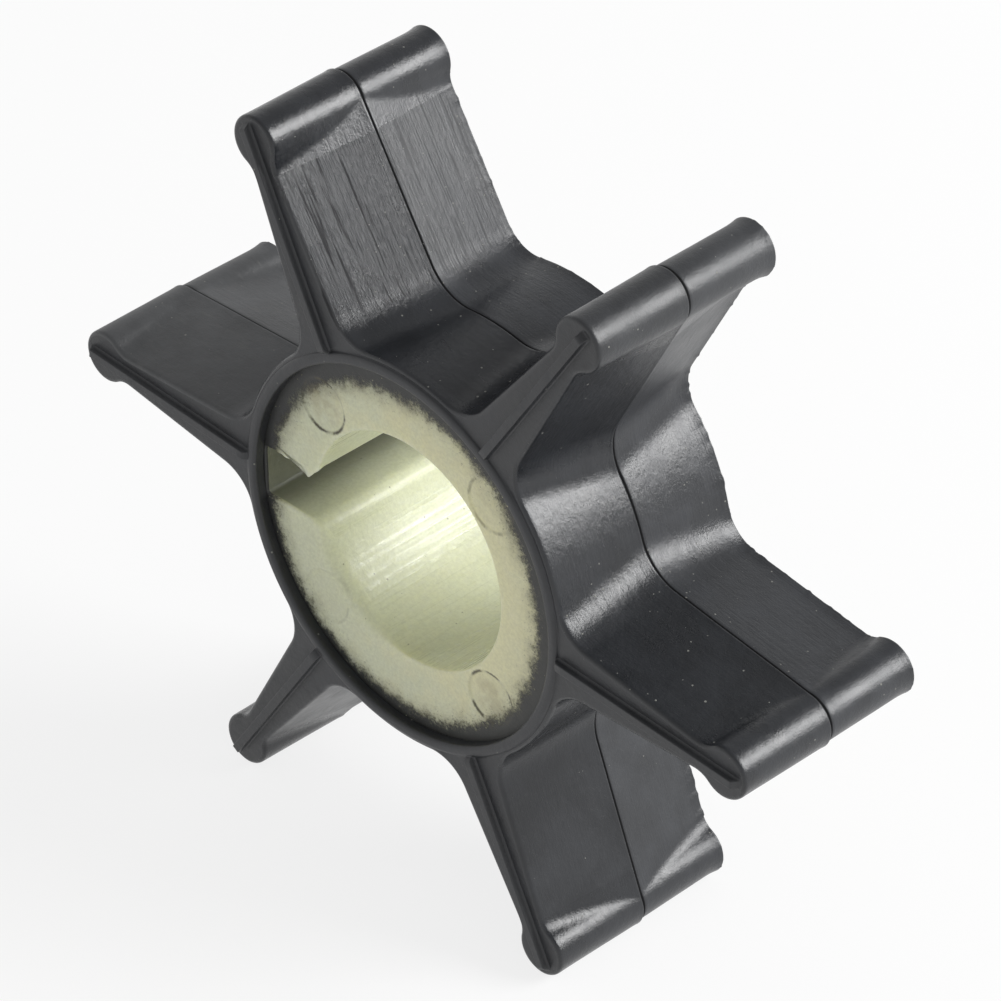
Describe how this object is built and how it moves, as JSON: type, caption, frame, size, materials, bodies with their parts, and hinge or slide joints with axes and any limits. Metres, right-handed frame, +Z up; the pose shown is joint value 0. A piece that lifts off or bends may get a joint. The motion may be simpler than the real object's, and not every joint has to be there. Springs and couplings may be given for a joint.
{
  "type": "pump impeller",
  "caption": "Flexible-vane pump impeller: rubber vanes with beaded tips and sealing ribs, moulded round a keyed plastic hub insert.",
  "frame": {"origin": "centre of the shaft bore, midway along it", "axes": "+Y along the shaft axis, from the front end with the round marks to the back end; +Z up, with the rotor standing on two neighbouring vane tips; vanes point along +X and -X"},
  "size_m": [0.0502, 0.0136, 0.044],
  "materials": {
    "vane_rubber": "satin moulded",
    "insert_plastic": "natural, slightly translucent"
  },
  "bodies": {
    "root": {"vane_rotor": "vane_rubber", "hub_insert": "insert_plastic"}
  },
  "joints": []
}
